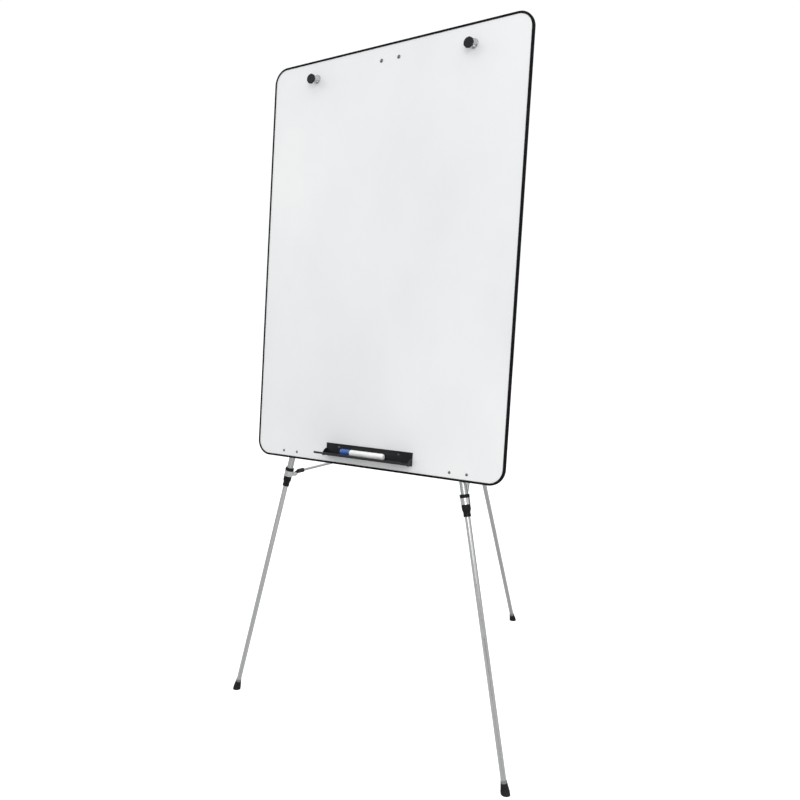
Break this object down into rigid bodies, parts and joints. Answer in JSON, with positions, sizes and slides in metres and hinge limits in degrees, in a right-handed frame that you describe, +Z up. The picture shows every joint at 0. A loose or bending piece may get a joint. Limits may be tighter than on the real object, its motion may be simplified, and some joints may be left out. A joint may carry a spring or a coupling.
{
  "type": "flipchart easel",
  "caption": "Tripod flipchart easel: white dry-wipe board with black edge, marker tray and chart pegs, on telescoping twist-lock legs with hook-on braces.",
  "frame": {"origin": "on the floor, at the middle of the rectangle round the three feet", "axes": "+Z up; the board faces -Y; +X is to the right of a person facing the board"},
  "size_m": [0.8556, 0.9912, 1.7253],
  "materials": {
    "back_sheet": "matt sheet",
    "band_chrome": "bright strip",
    "board_white": "gloss dry-wipe enamel",
    "brace_black": "moulded",
    "bright_screw": "bright domed head",
    "collar_black": "moulded",
    "core_board": "raw hardboard",
    "dark_steel": "black",
    "ferrule_metal": "dull",
    "guide_plastic": "moulded",
    "hub_black": "moulded, fine texture",
    "knob_black": "moulded",
    "lock_black": "moulded, fluted",
    "marker_blue": "gloss",
    "marker_white": "gloss",
    "nib_felt": "felt",
    "nylon": "natural nylon",
    "rod_metal": "satin",
    "rubber_foot": "moulded rubber",
    "satin_metal": "satin turned",
    "tray_black": "extruded, satin",
    "trim_black": "satin moulded edge",
    "tube_lower": "satin anodised",
    "tube_upper": "satin anodised",
    "zinc": "zinc plated"
  },
  "bodies": {
    "board_frame": {"edge_trim": "trim_black", "board_core": "core_board", "writing_surface": "board_white", "back_panel": "back_sheet", "marker_tray": "tray_black", "tray_screws": "dark_steel", "peg_posts": "satin_metal", "peg_bolts": "zinc", "apex_hub": "hub_black", "hinge_pin": "zinc", "hinge_nut": "zinc", "top_screws": "bright_screw", "upper_tube_left": "tube_upper", "upper_tube_right": "tube_upper", "collar_left": "collar_black", "collar_right": "collar_black", "band_left": "band_chrome", "band_right": "band_chrome", "collet_left": "nylon", "collet_right": "nylon", "leg_bracket_left": "hub_black", "leg_bracket_right": "hub_black", "bracket_screws": "zinc", "brace_pins": "zinc"},
    "rear_leg": {"rear_knuckle": "hub_black", "upper_tube_rear": "tube_upper", "collar_rear": "collar_black", "band_rear": "band_chrome", "collet_rear": "nylon", "rear_studs": "zinc"},
    "left_lower_leg": {"lower_tube_left": "tube_lower", "guide_plug_left": "guide_plastic", "ferrule_left": "ferrule_metal", "foot_left": "rubber_foot"},
    "right_lower_leg": {"lower_tube_right": "tube_lower", "guide_plug_right": "guide_plastic", "ferrule_right": "ferrule_metal", "foot_right": "rubber_foot"},
    "rear_lower_leg": {"lower_tube_rear": "tube_lower", "guide_plug_rear": "guide_plastic", "ferrule_rear": "ferrule_metal", "foot_rear": "rubber_foot"},
    "left_twist_lock": {"lock_ring_left": "lock_black"},
    "right_twist_lock": {"lock_ring_right": "lock_black"},
    "rear_twist_lock": {"lock_ring_rear": "lock_black"},
    "left_brace": {"brace_rod_left": "rod_metal", "brace_end_left": "brace_black", "brace_hook_left": "brace_black"},
    "right_brace": {"brace_rod_right": "rod_metal", "brace_end_right": "brace_black", "brace_hook_right": "brace_black"},
    "left_peg_knob": {"peg_knob_left": "knob_black"},
    "right_peg_knob": {"peg_knob_right": "knob_black"},
    "marker": {"marker_barrel": "marker_white", "marker_nib": "nib_felt"},
    "marker_cap_body": {"marker_cap": "marker_blue"}
  },
  "joints": [
    {"name": "rear_leg_fold", "type": "hinge", "parent": "board_frame", "child": "rear_leg", "pos_m": [0, -0.30843, 1.64], "axis": [-1, 0, 0], "range_deg": [0, 31.2]},
    {"name": "left_brace_swing", "type": "hinge", "parent": "board_frame", "child": "left_brace", "pos_m": [-0.26086, -0.40593, 0.63783], "axis": [0.9063, -0.3852, -0.1741], "range_deg": [0, 53.92]},
    {"name": "right_brace_swing", "type": "hinge", "parent": "board_frame", "child": "right_brace", "pos_m": [0.26086, -0.40593, 0.63783], "axis": [0.9063, 0.3852, 0.1741], "range_deg": [0, 53.92]},
    {"name": "left_leg_extend", "type": "slide", "parent": "board_frame", "child": "left_lower_leg", "axis": [-0.2254, -0.0919, -0.9699], "range_m": [-0.58, 0.25]},
    {"name": "right_leg_extend", "type": "slide", "parent": "board_frame", "child": "right_lower_leg", "axis": [0.2254, -0.0919, -0.9699], "range_m": [-0.58, 0.25]},
    {"name": "rear_leg_extend", "type": "slide", "parent": "rear_leg", "child": "rear_lower_leg", "axis": [0, 0.435, -0.9004], "range_m": [-0.7, 0.18]},
    {"name": "left_lock_turn", "type": "hinge", "parent": "board_frame", "child": "left_twist_lock", "pos_m": [-0.26981, -0.42503, 0.63347], "axis": [-0.2254, -0.0919, -0.9699], "range_deg": [0, 90]},
    {"name": "right_lock_turn", "type": "hinge", "parent": "board_frame", "child": "right_twist_lock", "pos_m": [0.26981, -0.42503, 0.63347], "axis": [0.2254, -0.0919, -0.9699], "range_deg": [0, 90]},
    {"name": "rear_lock_turn", "type": "hinge", "parent": "rear_leg", "child": "rear_twist_lock", "pos_m": [0, 0.13531, 0.72158], "axis": [0, 0.435, -0.9004], "range_deg": [0, 90]},
    {"name": "left_knob_turn", "type": "hinge", "parent": "board_frame", "child": "left_peg_knob", "pos_m": [-0.225, -0.37739, 1.67338], "axis": [0, -0.9965, 0.0837], "continuous": true},
    {"name": "right_knob_turn", "type": "hinge", "parent": "board_frame", "child": "right_peg_knob", "pos_m": [0.225, -0.37739, 1.67338], "axis": [0, -0.9965, 0.0837], "continuous": true},
    {"name": "marker_lift", "type": "slide", "parent": "board_frame", "child": "marker", "axis": [0, 0, 1], "range_m": [0, 0.08]},
    {"name": "cap_pull", "type": "slide", "parent": "marker", "child": "marker_cap_body", "axis": [-1, 0, 0], "range_m": [0, 0.05]}
  ],
  "couplings": [
    {"joint": "left_brace_swing", "follows": "rear_leg_fold", "ratio": 1.7265},
    {"joint": "right_brace_swing", "follows": "rear_leg_fold", "ratio": 1.7265}
  ]
}
